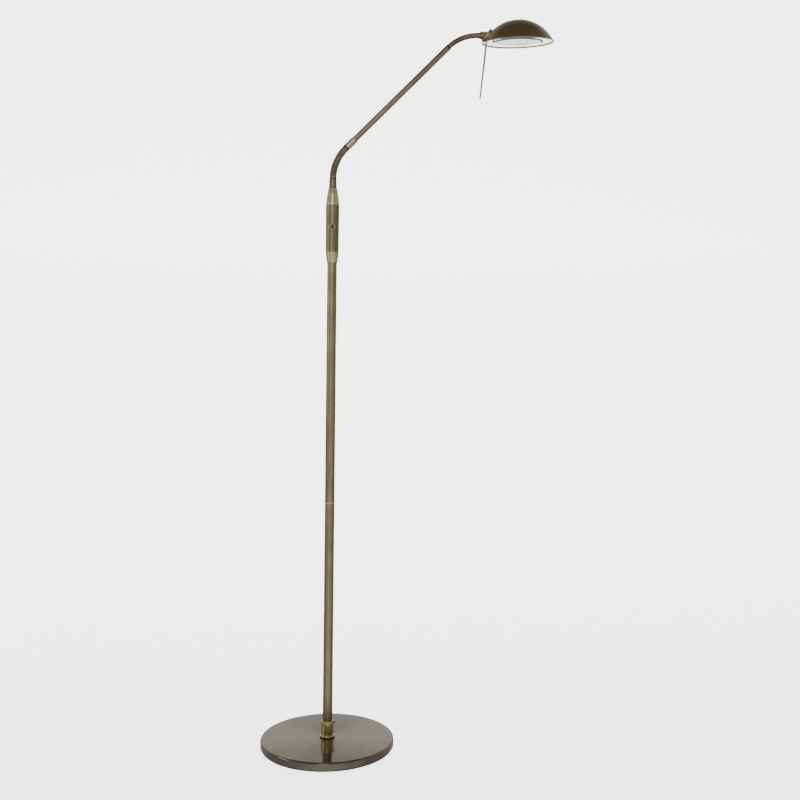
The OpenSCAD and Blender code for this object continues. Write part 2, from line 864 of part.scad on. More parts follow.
// The rod hangs from the bracket's foot; local +Z runs down the rod
module handle_rod() {
    rivet_r = rod_low_r - 0.3;
    color(polished) dome_frame() translate([rod_x, 0, foot_z - seat / 2]) {
        rotate([0, 180 + rod_lean, 0]) translate([0, 0, 0.4]) {
            cylinder(r1 = rod_top_r, r2 = rod_low_r, h = rod_len - rod_point);
            translate([0, 0, rod_len - rod_point])
                cylinder(r1 = rod_low_r, r2 = 0.2, h = rod_point);
        }
        translate([0, 0, -1]) cylinder(r = rivet_r, h = bracket_h + 1.3);
    }
}

// Sheet bowl with a flat flange
module reflector() {
    t = reflector_wall;
    notch_r = rod_top_r + 1.2;
    color("#e8e8e6") dome_frame() difference() {
        rotate_extrude() polygon([[flange_r, flange_z], [flange_r, flange_z + t],
            [mouth_r + t, flange_z + t], [crown_r + t, crown_z + t], [0, crown_z + t],
            [0, crown_z], [crown_r, crown_z], [mouth_r, flange_z]]);
        for (side = [-1, 1])
            translate([side * screw_reach, 0, 0]) cylinder(r = screw_r + seat, h = dome_h / 2);
        translate([rod_x, 0, 0]) cylinder(r = notch_r, h = dome_h / 4);
    }
}

module reflector_post() {
    color(steel) dome_frame() difference() {
        intersection() {
            translate([screw_reach, 0, foot_z - seat / 2]) cylinder(r = post_r, h = dome_h);
            translate([0, 0, -sphere_drop]) sphere(r = inner_sphere_r - seat);
        }
        translate([screw_reach, 0, 0]) cylinder(r = screw_r + fit, h = foot_z + 6);
    }
}

module glass_washers() {
    color(steel) dome_frame() for (side = [-1, 1])
        translate([side * screw_reach, 0, washer_z]) tube(washer_r, screw_r + seat, washer_h);
}

module glass_screws() {
    shank = foot_z + bracket_h - washer_z;
    color(dark) dome_frame() for (side = [-1, 1])
        translate([side * screw_reach, 0, washer_z - seat / 2 - screw_head_h]) {
            cylinder(r1 = screw_head_r * 0.75, r2 = screw_head_r, h = screw_head_h);
            cylinder(r = screw_r, h = shank + screw_head_h);
        }
}

module cover_glass() {
    edge = 0.4;
    color("#dfeaea", 0.4) dome_frame() translate([0, 0, glass_z]) {
        cylinder(r1 = glass_r - edge, r2 = glass_r, h = edge);
        translate([0, 0, edge]) cylinder(r = glass_r, h = glass_h - edge);
    }
}

module lamp_holder() {
    pin_room = 3;
    color("#f2efe6") dome_frame() translate([holder_x, -holder[1] / 2, crown_z - seat - holder[2]])
        difference() {
            cube(holder);
            translate([holder[0] - pin_room, holder[1] / 2, holder[2] / 2])
                rotate([0, 90, 0]) cylinder(r = capsule_r * 0.6 + seat, h = pin_room + 1);
        }
}

module lamp_capsule() {
    stem = 2.5;
    dome_back = 0.15;
    color("#f4f4ee", 0.6) dome_frame() translate([holder_x + holder[0], 0, lamp_z])
        rotate([0, 90, 0]) rotate_extrude() {
            translate([0, -stem]) square([capsule_r * 0.6, stem + 1]);
            translate([0, seat]) square([capsule_r, capsule_len - capsule_r - seat]);
            intersection() {
                translate([0, capsule_len - capsule_r - dome_back])
                    circle(r = capsule_r + dome_back);
                square([capsule_r, capsule_len + 1]);
            }
        }
}

base_cover();
base_weight();
base_plate();
base_pad();
plate_screws();
cable_bush();
inner_flex();
stem_nipple();
stem_washer();
stem_nut();
collar();
foot_ring();
collar_screw();
stem_plug();
lower_tube();
pole_coupler();
joint_ring();
upper_tube();
lower_cone();
handle_body();
upper_cone();
neck_ring();
dimmer_module();
dimmer_bezel();
dimmer_button();
neck_fitting();
neck_washer();
neck_nut();
low_link(1);  // lower_link_1
low_link(2);  // lower_link_2
low_link(3);  // lower_link_3
low_link(4);  // lower_link_4
low_link(5);  // lower_link_5
arm_sleeve();
arm_tube();
arm_tip();
up_link(1);  // upper_link_1
up_link(2);  // upper_link_2
up_link(3);  // upper_link_3
up_link(4);  // upper_link_4
up_link(5);  // upper_link_5
head_ferrule();
head_washer();
head_nut();
shade();
head_boss();
boss_screw();
inner_boss();
rod_bracket();
handle_rod();
reflector();
reflector_post();
lamp_holder();
lamp_capsule();
cover_glass();
glass_washers();
glass_screws();
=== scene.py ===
"""Looks of a brass reading lamp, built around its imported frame.

Pieces are surfaces of revolution and wound tubes in millimetres, in the place of the body
that they ride on. Each piece keeps its own local millimetres in the attribute "local", which
the finishes read, so that brushing and wear lie along the piece wherever it points.
"""
import json
import math

import bpy
import numpy as np
from mathutils import Matrix, Vector


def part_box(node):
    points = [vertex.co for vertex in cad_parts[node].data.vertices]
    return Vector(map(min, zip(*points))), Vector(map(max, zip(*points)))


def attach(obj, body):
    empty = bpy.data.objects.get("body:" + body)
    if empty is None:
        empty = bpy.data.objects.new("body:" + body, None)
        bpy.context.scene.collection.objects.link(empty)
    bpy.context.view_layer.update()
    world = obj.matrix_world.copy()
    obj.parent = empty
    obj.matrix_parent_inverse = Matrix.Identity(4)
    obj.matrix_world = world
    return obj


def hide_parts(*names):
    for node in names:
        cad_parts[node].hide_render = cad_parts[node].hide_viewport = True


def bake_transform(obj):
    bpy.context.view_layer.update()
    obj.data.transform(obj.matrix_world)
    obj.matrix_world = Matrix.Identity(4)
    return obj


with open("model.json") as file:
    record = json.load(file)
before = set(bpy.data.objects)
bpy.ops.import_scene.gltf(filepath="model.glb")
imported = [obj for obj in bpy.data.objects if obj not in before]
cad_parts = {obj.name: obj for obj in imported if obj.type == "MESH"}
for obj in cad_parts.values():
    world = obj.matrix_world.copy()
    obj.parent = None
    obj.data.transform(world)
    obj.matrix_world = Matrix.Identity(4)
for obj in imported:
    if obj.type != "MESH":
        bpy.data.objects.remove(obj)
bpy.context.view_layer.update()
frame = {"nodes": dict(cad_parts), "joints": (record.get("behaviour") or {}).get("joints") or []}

MM = 0.001

# ---------------------------------------------------------------- places from the frame

joints = {j["name"]: j for j in frame["joints"]}


def joint_at(name):
    """A joint's middle, in millimetres."""
    return np.array(joints[name]["pos_m"]) / MM


def unit(v):
    """The vector at length one."""
    return v / np.linalg.norm(v)


class Place:
    """A local frame: an origin in millimetres and three axes, the last along the piece."""

    def __init__(self, origin=(0, 0, 0), along=(0, 0, 1), side=(0, 1, 0)):
        self.origin = np.array(origin, float)
        z = unit(np.array(along, float))
        x = unit(np.cross(np.array(side, float), z))
        self.axes = np.array([x, np.cross(z, x), z])

    def to_row(self, points):
        """Local millimetres to metres in the row frame."""
        return (points @ self.axes + self.origin) * MM

    def point(self, x, y, z):
        """One local point, in the row's millimetres."""
        return np.array([x, y, z]) @ self.axes + self.origin

    def moved(self, x, y, z):
        """The same axes at another local origin."""
        copy = Place()
        copy.axes = self.axes
        copy.origin = self.point(x, y, z)
        return copy


def heading(angle):
    """Direction in the XZ plane at an angle from upright."""
    return np.array([math.sin(angle), 0, math.cos(angle)])


class Bend:
    """A gooseneck's centre line at rest: an arc whose tangents cross at its joints."""

    def __init__(self, prefix, count=6):
        self.joint_names = [f"{prefix}_{i + 1}" for i in range(count)]
        middles = [joint_at(n) for n in self.joint_names]
        first, second = middles[1] - middles[0], middles[2] - middles[1]
        angles = [math.atan2(v[0], v[2]) for v in (first, second)]
        self.step = angles[1] - angles[0]
        self.turn = count * self.step
        self.start_angle = angles[0] - self.step
        self.end_angle = self.start_angle + self.turn
        pitch = np.linalg.norm(first)
        self.radius = pitch / 2 / math.tan(self.step / 2)
        self.start = middles[0] - pitch / 2 * heading(self.start_angle)
        self.end = middles[-1] + pitch / 2 * heading(self.end_angle)
        self.length = self.radius * self.turn

    def at(self, travel):
        """Points of the centre line and the headings there, at distances from its start."""
        angle = self.start_angle + travel / self.radius
        flat = np.zeros_like(angle)
        out = np.stack([np.cos(angle), flat, -np.sin(angle)], -1)
        first_out = np.array([math.cos(self.start_angle), 0, -math.sin(self.start_angle)])
        centre = self.start + self.radius * first_out
        return centre - self.radius * out, out


low_bend = Bend("lower_bend")
up_bend = Bend("upper_bend")
head_axis = unit(np.array(joints["head_turn"]["axis"]))
head_roll = -math.radians(sum(joints["head_turn"]["range_deg"])) / 2

STAND = Place()
arm_place = Place(low_bend.end, heading(low_bend.end_angle))
ferrule_place = Place(up_bend.end, head_axis)
arm_len = float(np.dot(up_bend.start - low_bend.end, heading(low_bend.end_angle)))


def box_mm(node):
    """A node's lowest and highest corner in millimetres."""
    return [np.array(corner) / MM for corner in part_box(node)]


# Heights of the stand's pieces
base_low, base_high = box_mm("base_cover")
base_r = base_high[0]
base_top = base_high[2]
pad_top = base_low[2]
pad_r = box_mm("base_pad")[1][0]
collar_r = box_mm("collar")[1][0]
collar_top = box_mm("collar")[1][2]
ring_low, ring_high = box_mm("foot_ring")
tube_low, tube_high = box_mm("lower_tube")
pole_r = tube_high[0]
pole_wall = 1.2
joint_low, joint_high = box_mm("joint_ring")
upper_end = box_mm("upper_tube")[1][2]
cone_low, cone_high = box_mm("lower_cone")
handle_low, handle_high = box_mm("handle_body")
up_cone_high = box_mm("upper_cone")[1][2]
neck_ring_low, neck_ring_high = box_mm("neck_ring")
bezel_low, bezel_high = box_mm("dimmer_bezel")
bezel_r = bezel_high[0]
button_low, button_high = box_mm("dimmer_button")
button_flange_r = button_high[0]
button_r = button_flange_r - 0.8
neck_foot = neck_ring_high[2] + 0.3
neck_foot_r = box_mm("neck_fitting")[1][0]
handle_foot_r = cone_high[0]
handle_top_r = handle_high[0]

# The head: origin in the middle of the rim, +Z through the dome's crown, +X away from the arm
dome_r = 70.0
dome_h = 42.5
axis_drop = 14.0
sphere_r = (dome_r ** 2 + dome_h ** 2) / (2 * dome_h)
sphere_drop = sphere_r - dome_h
axis_wall = math.sqrt(sphere_r ** 2 - (axis_drop + sphere_drop) ** 2)
ferrule_len = 5.2
hub_reach = 14.1
turn_gap = 0.3
rolled = math.cos(head_roll) * np.cross(head_axis, [0, 1, 0]) - math.sin(head_roll) * np.array([0, 1, 0])
dome_place = Place(up_bend.end, rolled, np.cross(rolled, head_axis))
dome_place = dome_place.moved(ferrule_len + turn_gap + hub_reach + axis_wall, 0, -axis_drop)

# ---------------------------------------------------------------- surfaces

FINE = 128


def arc(centre, radius, start, end, count=24):
    """Points on a circle in the (radius, height) plane between two angles in degrees."""
    a = np.radians(np.linspace(start, end, count))
    return np.stack([centre[0] + radius * np.cos(a), centre[1] + radius * np.sin(a)], -1)


def rounded(*corners, steps=7):
    """Outline through (radius, height, rounding) corners. A rounding is the arc that touches
    both sides of its corner: its ends lie rounding / tan(half the corner's angle) from it."""
    out = []
    for k, corner in enumerate(corners):
        here = np.array(corner[:2], float)
        rounding = corner[2] if len(corner) > 2 else 0
        before = np.array(corners[k - 1][:2], float)
        after = np.array(corners[(k + 1) % len(corners)][:2], float)
        if not rounding:
            out.append(here[None])
            continue
        a, b = unit(before - here), unit(after - here)
        half = math.acos(max(-1, min(1, float(a @ b)))) / 2
        centre = here + unit(a + b) * rounding / math.sin(half)
        touch_a = here + a * rounding / math.tan(half)
        touch_b = here + b * rounding / math.tan(half)
        start = unit(touch_a - centre)
        sweep = math.atan2(np.cross(start, touch_b - centre), start @ (touch_b - centre))
        t = np.linspace(0, sweep, steps)
        normal = np.array([-start[1], start[0]])
        out.append(centre + rounding * (np.outer(np.cos(t), start) + np.outer(np.sin(t), normal)))
    return np.vstack(out)


def build(name, points, local, place_row=None, loop=False):
    """A closed mesh on a grid of points[row, column] in row metres. Columns run round. Rows
    join end to start in a loop, or else each end closes on its middle point."""
    if not loop:
        middle = [np.broadcast_to(g[k].mean(0), g[k].shape)[None] for g in (points, local) for k in (0, -1)]
        points = np.concatenate([middle[0], points, middle[1]])
        local = np.concatenate([middle[2], local, middle[3]])
    rows, around = points.shape[:2]
    index = np.arange(rows * around).reshape(rows, around)
    if not loop:
        index[0], index[-1] = index[0, 0], index[-1, 0]
    chain = np.vstack([index, index[:1]]) if loop else index
    a, b = chain[:-1], chain[1:]
    quads = np.stack([a, b, np.roll(b, -1, 1), np.roll(a, -1, 1)], -1).reshape(-1, 4)
    used, small = np.unique(quads, return_inverse=True)
    quads = small.reshape(-1, 4)
    flat = points.reshape(-1, 3)[used]
    inner = local.reshape(-1, 3)[used]
    volume = sum(
        np.einsum("ij,ij->", flat[quads[:, 0]], np.cross(flat[quads[:, i]], flat[quads[:, i + 1]]))
        for i in (1, 2)
    )
    if volume < 0:
        quads = quads[:, ::-1]
    faces = [list(dict.fromkeys(q)) for q in quads.tolist()]
    mesh = bpy.data.meshes.new(name)
    mesh.from_pydata(flat.tolist(), [], [f for f in faces if len(f) > 2])
    mesh.attributes.new("local", "FLOAT_VECTOR", "POINT").data.foreach_set(
        "vector", inner.astype(np.float32).ravel())
    mesh.shade_smooth()
    mesh.set_sharp_from_angle(angle=math.radians(38))
    piece = bpy.data.objects.new(name, mesh)
    bpy.context.scene.collection.objects.link(piece)
    return piece


def turned(name, outline, place, around=FINE, loop=True):
    """Surface of revolution: the outline (radius, height) carried round the place's +Z, so
    that a point is (radius cos a, radius sin a, height)."""
    a = np.linspace(0, 2 * math.pi, around, endpoint=False)
    r, z = outline[:, 0, None], outline[:, 1, None]
    local = np.stack([r * np.cos(a), r * np.sin(a), z + 0 * a], -1)
    return build(name, place.to_row(local), local, loop=loop)


def wound(name, bend, first, last, radius, pitch, depth, around=56):
    """A stretch of spiral-wound tube: a circle of a radius that swells by a round bead once
    per pitch of travel, and whose bead climbs by one pitch in a full turn."""
    per_bead = 12
    count = max(8, int(round((last - first) / pitch * per_bead)) + 1)
    travel = np.linspace(first, last, count)
    a = np.linspace(0, 2 * math.pi, around, endpoint=False)
    centre, out = bend.at(travel)
    phase = (travel[:, None] / pitch - a / (2 * math.pi)) % 1.0
    swell = radius - depth + depth * np.sqrt(np.clip(1 - (2 * phase - 1) ** 2, 0, 1))
    ring = swell[..., None] * (np.cos(a)[:, None] * out[:, None] + np.sin(a)[:, None] * np.array([0, 1, 0]))
    local = np.stack([swell * np.cos(a), swell * np.sin(a), travel[:, None] + 0 * a], -1)
    return build(name, (centre[:, None] + ring) * MM, local)


def finished(piece, finish, body=None, slot=None, *replaced):
    """Gives a piece its finish, its body and the nodes that it stands for. The slot is not used."""
    piece.data.materials.clear()
    piece.data.materials.append(finish)
    if body:
        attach(piece, body)
    if replaced:
        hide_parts(*replaced)
    return piece


# ---------------------------------------------------------------- finishes


class Value:
    """A number or vector that changes over a surface, with the operators the finishes use."""

    def __init__(self, finish, socket):
        self.finish = finish
        self.socket = socket

    def maths(self, operation, a, b=None, c=None):
        given = {i: v for i, v in enumerate((a, b, c)) if v is not None}
        return self.finish.add("ShaderNodeMath", {"operation": operation}, given)

    def __add__(self, other):
        return self.maths("ADD", self, other)

    def __sub__(self, other):
        return self.maths("SUBTRACT", self, other)

    def __rsub__(self, other):
        return self.maths("SUBTRACT", other, self)

    def __mul__(self, other):
        return self.maths("MULTIPLY", self, other)

    def __truediv__(self, other):
        return self.maths("DIVIDE", self, other)

    def __pow__(self, other):
        return self.maths("POWER", self, other)

    __radd__ = __add__
    __rmul__ = __mul__

    def step_up(self, low, high):
        """0 below low, 1 above high, smooth between."""
        settings = {"interpolation_type": "SMOOTHSTEP"}
        return self.finish.add("ShaderNodeMapRange", settings, {"Value": self, "From Min": low, "From Max": high})


class Nodes:
    """A node tree and the few kinds of node that the finishes and the studio need."""

    def __init__(self, tree):
        self.tree = tree

    def add(self, kind, settings, given, out=0):
        """Adds a node: settings first, then the values or links of its sockets."""
        node = self.tree.nodes.new(kind)
        for key, value in settings.items():
            setattr(node, key, value)
        for key, value in given.items():
            if isinstance(value, Value):
                self.tree.links.new(value.socket, node.inputs[key])
            else:
                node.inputs[key].default_value = value
        return Value(self, node.outputs[out])

    def local(self):
        """The piece's own millimetres."""
        return self.add("ShaderNodeAttribute", {"attribute_name": "local"}, {}, "Vector")

    def object_mm(self):
        """The row's millimetres, for the pieces that come from the frame."""
        place = self.add("ShaderNodeTexCoord", {}, {}, "Object")
        return self.stretched(place, (1 / MM, 1 / MM, 1 / MM))

    def stretched(self, vector, scale):
        """The vector times a scale in each direction."""
        return self.add("ShaderNodeVectorMath", {"operation": "MULTIPLY"}, {0: vector, 1: scale})

    def parts(self, vector):
        """x, y and z of a vector."""
        node = self.tree.nodes.new("ShaderNodeSeparateXYZ")
        self.tree.links.new(vector.socket, node.inputs[0])
        return [Value(self, s) for s in node.outputs]

    def noise(self, vector, scale=1.0, detail=4.0, roughness=0.5):
        """Cloudy noise from about 0 to 1 whose grain is one over scale."""
        given = {"Vector": vector, "Scale": scale, "Detail": detail, "Roughness": roughness}
        return self.add("ShaderNodeTexNoise", {}, given, "Fac")

    def colour(self, share, first, second):
        """A colour between two, at a share."""
        node = self.tree.nodes.new("ShaderNodeMix")
        node.data_type = "RGBA"
        for name, value in (("Factor", share), ("A", first), ("B", second)):
            socket = next(s for s in node.inputs if s.name == name and s.enabled)
            if isinstance(value, Value):
                self.tree.links.new(value.socket, socket)
            else:
                socket.default_value = value if name == "Factor" else (*value, 1)
        return Value(self, next(s for s in node.outputs if s.enabled))


class Finish(Nodes):
    """One material: a metal, glass or plastic shader and what varies over it."""

    def __init__(self, name, **constants):
        self.material = bpy.data.materials.new(name)
        self.material.use_nodes = True
        super().__init__(self.material.node_tree)
        self.shader = self.tree.nodes["Principled BSDF"]
        for socket, value in constants.items():
            self.shader.inputs[socket.replace("_", " ")].default_value = value

    def varies(self, socket, value):
        """Links a changing value to the shader."""
        self.tree.links.new(value.socket, self.shader.inputs[socket])

    def bumped(self, height, distance, strength=1.0):
        """Turns a height in 0..1 into relief of a distance in metres."""
        bump = self.add("ShaderNodeBump", {}, {"Height": height, "Distance": distance, "Strength": strength})
        self.varies("Normal", bump)


def brushed(name, dark, light, rough, along=True, line=3.0, wear=0.35, source="local", band=None):
    """Lacquered brass with fine brushing along the piece, or round it when along is False. A
    band is blackened between two heights of the piece."""
    f = Finish(name, Metallic=1.0)
    place = f.local() if source == "local" else f.object_mm()
    lengthwise = (line, line, 0.035) if along else (0.05, 0.05, line)
    hairs = f.noise(f.stretched(place, lengthwise), 1.0, 5.0, 0.6)
    clouds = f.noise(place, 0.035, 3.0)
    stains = f.noise(f.stretched(place, (0.25, 0.25, 0.03)), 1.0, 4.0).step_up(0.5, 0.72)
    fine = 0.55 if along else 0.25
    share = (hairs * fine + clouds * (1 - fine)).step_up(0.3, 0.7)
    toned = f.colour(share, dark, light)
    aged = f.colour(stains * wear, toned, tuple(c * 0.62 for c in dark))
    if band:
        z = f.parts(place)[2]
        black = z.step_up(band[0] - 0.05, band[0] + 0.05) * (1 - z.step_up(band[1] - 0.05, band[1] + 0.05))
        aged = f.colour(black, aged, (0.02, 0.016, 0.012))
    f.varies("Base Color", aged)
    f.varies("Roughness", rough + hairs * 0.14 + stains * 0.08)
    f.bumped(hairs, 0.000004 if along else 0.0000015)
    return f.material


def spun(name, dark, light, rough, line=2.6, relief=0.000003, **constants):
    """Brass spun on a lathe: fine rings about the piece's axis under a clear lacquer, with painted sheen: tone that
    turns lighter and darker round the axis, and lighter towards ±X, stands in for the reflection of spun metal.
    """
    f = Finish(name, Metallic=1.0, **constants)
    place = f.local()
    x, y, z = f.parts(place)
    reach = (x * x + y * y) ** 0.5
    rings = f.noise(f.add("ShaderNodeCombineXYZ", {}, {0: reach * line, 1: z * line}), 1.0, 4.0, 0.7)
    clouds = f.noise(place, 0.03, 3.0)
    turn = f.add("ShaderNodeMath", {"operation": "ARCTAN2"}, {0: y, 1: x})
    # Painted reflection: fans of lighter and darker tone round the axis stand in for the spun metal's sheen sectors.
    painted_sheen_fans = f.noise(f.add("ShaderNodeCombineXYZ", {}, {0: turn * 2.2}), 1.0, 3.0, 0.6)
    # Painted reflection: lighter towards ±X and darker towards ±Y.
    painted_sheen_across = x * x / (x * x + y * y + 1)
    # Real rings and clouds, mixed with the painted sheen.
    share = (rings * 0.25 + clouds * 0.15 + painted_sheen_fans * 0.3 + painted_sheen_across * 0.3).step_up(0.3, 0.7)
    f.varies("Base Color", f.colour(share, dark, light))
    f.varies("Roughness", rough + rings * 0.05 + clouds * 0.04)
    f.bumped(rings, relief)
    return f.material


def plain_metal(name, tone, rough, grain=1.2, source="object"):
    """Plated or blackened metal with a fine grain and faint handling marks."""
    f = Finish(name, Metallic=1.0)
    place = f.object_mm() if source == "object" else f.local()
    grains = f.noise(place, grain, 5.0, 0.6)
    marks = f.noise(place, 0.12, 3.0)
    f.varies("Base Color", f.colour(marks.step_up(0.35, 0.7), tone, tuple(c * 0.72 for c in tone)))
    f.varies("Roughness", rough + grains * 0.2)
    f.bumped(grains, 0.00001)
    return f.material


def moulded(name, tone, rough, grain=3.0, source="object", **constants):
    """Plastic, ceramic or rubber with a fine moulded grain."""
    f = Finish(name, **constants)
    place = f.object_mm() if source == "object" else f.local()
    grains = f.noise(place, grain, 4.0, 0.6)
    clouds = f.noise(place, 0.08, 3.0)
    f.varies("Base Color", f.colour(clouds, tone, tuple(c * 0.8 for c in tone)))
    f.varies("Roughness", rough + grains * 0.15)
    f.bumped(grains, 0.00002)
    return f.material


def wound_metal(name, dark, light, pitch):
    """Wound brass strip: brushed along the winding, with painted shade darkening the grooves between its beads."""
    f = Finish(name, Metallic=1.0)
    place = f.local()
    x, y, z = f.parts(place)
    turn = f.add("ShaderNodeMath", {"operation": "ARCTAN2"}, {0: y, 1: x}) / (2 * math.pi)
    climb = z / pitch - turn
    phase = f.add("ShaderNodeMath", {"operation": "FRACT"}, {0: climb})
    crest = 1 - f.add("ShaderNodeMath", {"operation": "ABSOLUTE"}, {0: phase * 2 - 1})
    fuzz = f.noise(f.stretched(place, (0.9, 0.9, 2.5)), 1.0, 4.0)
    clouds = f.noise(place, 0.06, 3.0)
    open_face = crest.step_up(0.05, 0.55)
    toned = f.colour(clouds.step_up(0.35, 0.65), dark, light)
    # Painted shade: the grooves between the beads darken to a tenth of the dark tone.
    f.varies("Base Color", f.colour(open_face, tuple(c * 0.1 for c in dark), toned))
    f.varies("Roughness", 0.3 + fuzz * 0.15 + (1 - open_face) * 0.3)
    f.bumped(fuzz, 0.00001)
    return f.material


def felt_cloth(name, tone):
    """Pressed felt: matted fibres and a soft sheen."""
    f = Finish(name, Sheen_Weight=0.02)
    place = f.local()
    fibres = f.noise(place, 4.0, 6.0, 0.75)
    clouds = f.noise(place, 0.1, 3.0)
    f.varies("Base Color", f.colour(fibres * 0.6 + clouds * 0.4, tone, tuple(c * 2.2 for c in tone)))
    f.varies("Roughness", 0.85 + fibres * 0.15)
    f.bumped(fibres, 0.0002)
    return f.material


def clear_sheet(name, tone, rough):
    """Flat clear glass with a faint ripple and a little dust."""
    f = Finish(name, Transmission_Weight=1.0, IOR=1.5)
    place = f.local()
    ripple = f.noise(place, 0.03, 2.0)
    dust = f.noise(place, 1.5, 5.0, 0.7)
    f.varies("Base Color", f.colour(dust.step_up(0.45, 0.8), tone, tuple(c * 0.93 for c in tone)))
    f.varies("Roughness", rough + dust * 0.05)
    f.bumped(ripple, 0.00002)
    return f.material


def shade_metal(name, bronze, pale, white):
    """The shade: dark spun bronze outside, a painted highlight as a pale band on the outside of the rim, satin white
    inside.
    """
    f = Finish(name, Coat_Roughness=0.12)
    place = f.local()
    x, y, z = f.parts(place)
    reach = (x * x + y * y) ** 0.5
    height = z + sphere_drop
    from_middle = (x * x + y * y + height * height) ** 0.5
    inside = 1 - from_middle.step_up(sphere_r - 0.75, sphere_r - 0.45)
    inner = inside * z.step_up(2.6, 3.0)
    rings = f.noise(f.add("ShaderNodeCombineXYZ", {}, {0: reach * 2.2, 1: z * 2.2}), 1.0, 4.0, 0.7)
    streaks = f.noise(f.stretched(place, (0.05, 0.05, 0.25)), 1.0, 4.0)
    # Painted highlight: the outside of the rim below 2.4 mm turns pale.
    rim_highlight = 1 - z.step_up(0.4, 2.4)
    body = f.colour((rings * 0.5 + streaks * 0.5).step_up(0.3, 0.7), bronze, tuple(c * 1.35 for c in bronze))
    edged = f.colour(rim_highlight * (1 - inside) * 0.85, body, pale)
    f.varies("Base Color", f.colour(inner, edged, white))
    f.varies("Metallic", 1 - inner)
    f.varies("Roughness", 0.24 + rings * 0.1 + inner * 0.25)
    f.varies("Coat Weight", (1 - inner) * 0.4)
    f.bumped(rings, 0.000004)
    return f.material


def glowing_mirror_sheet(name, tone):
    """Bright satin reflector sheet with spinning marks and a painted glow: it emits white light though it is no lamp.
    """
    # Painted light: a white emission makes the reflector glow.
    f = Finish(name, Metallic=0.2, Emission_Color=(1, 1, 1, 1), Emission_Strength=0.8)
    place = f.local()
    x, y, z = f.parts(place)
    reach = (x * x + y * y) ** 0.5
    rings = f.noise(f.add("ShaderNodeCombineXYZ", {}, {0: reach * 1.4}), 1.0, 3.0)
    f.varies("Base Color", f.colour(rings, tone, tuple(c * 0.9 for c in tone)))
    f.varies("Roughness", 0.22 + rings * 0.15)
    f.bumped(rings, 0.00002)
    return f.material


OLIVE_DARK, OLIVE_LIGHT = (0.26, 0.215, 0.12), (0.38, 0.325, 0.19)
antique_long = brushed("antique_brass_long", OLIVE_DARK, OLIVE_LIGHT, 0.26)
handle_brass = brushed("handle_brass", (0.23, 0.19, 0.10), (0.33, 0.28, 0.16), 0.27, line=2.0, wear=0.45)
handle_cad = brushed("handle_brass_frame", (0.23, 0.19, 0.10), (0.33, 0.28, 0.16), 0.27, line=2.0, source="object")
antique_round = brushed("antique_brass_round", OLIVE_DARK, OLIVE_LIGHT, 0.26, along=False)
pale_brass = brushed("pale_brass", (0.50, 0.42, 0.22), (0.66, 0.57, 0.34), 0.18, along=False, wear=0.15)
sleeve_brass = brushed("sleeve_brass", (0.46, 0.40, 0.25), (0.62, 0.55, 0.38), 0.24, wear=0.2, band=(-0.1, 1.5))
rod_brass = brushed("rod_brass", (0.34, 0.29, 0.21), (0.44, 0.385, 0.29), 0.3, wear=0.15)
collar_brass = brushed("collar_brass", (0.56, 0.45, 0.22), (0.70, 0.59, 0.33), 0.14, along=False, wear=0.1)
spun_base = spun("spun_base", (0.15, 0.13, 0.10), (0.27, 0.235, 0.17), 0.07)
low_wound = wound_metal("wound_brass_low", (0.24, 0.20, 0.12), (0.35, 0.30, 0.19), 2.7)
up_wound = wound_metal("wound_brass_up", (0.22, 0.18, 0.11), (0.34, 0.29, 0.19), 2.2)
bronze_shade = shade_metal("bronze_shade", (0.24, 0.165, 0.07), (0.62, 0.54, 0.40), (0.86, 0.86, 0.84))
glowing_white_sheet = glowing_mirror_sheet("reflector_sheet", (0.93, 0.93, 0.92))
dark_metal = plain_metal("blackened_metal", (0.05, 0.04, 0.03), 0.3)
zinc = plain_metal("zinc_plate", (0.55, 0.55, 0.53), 0.3)
iron = plain_metal("black_iron", (0.09, 0.09, 0.09), 0.5, grain=0.6)
felt = felt_cloth("black_felt", (0.004, 0.0036, 0.0033))
black_plastic = moulded("black_plastic", (0.02, 0.02, 0.02), 0.4)
circuit_case = moulded("circuit_case", (0.03, 0.05, 0.035), 0.5)
sheath = moulded("cable_sheath", (0.025, 0.022, 0.02), 0.35)
button_plastic = moulded("button_plastic", (0.03, 0.024, 0.018), 0.4, source="local")
ceramic = moulded("white_ceramic", (0.85, 0.83, 0.78), 0.5)
lamp_glass = moulded("frosted_glass", (0.9, 0.9, 0.88), 0.35, Transmission_Weight=0.5)
flat_glass = clear_sheet("flat_glass", (0.84, 0.95, 0.96), 0.02)

# ---------------------------------------------------------------- stand


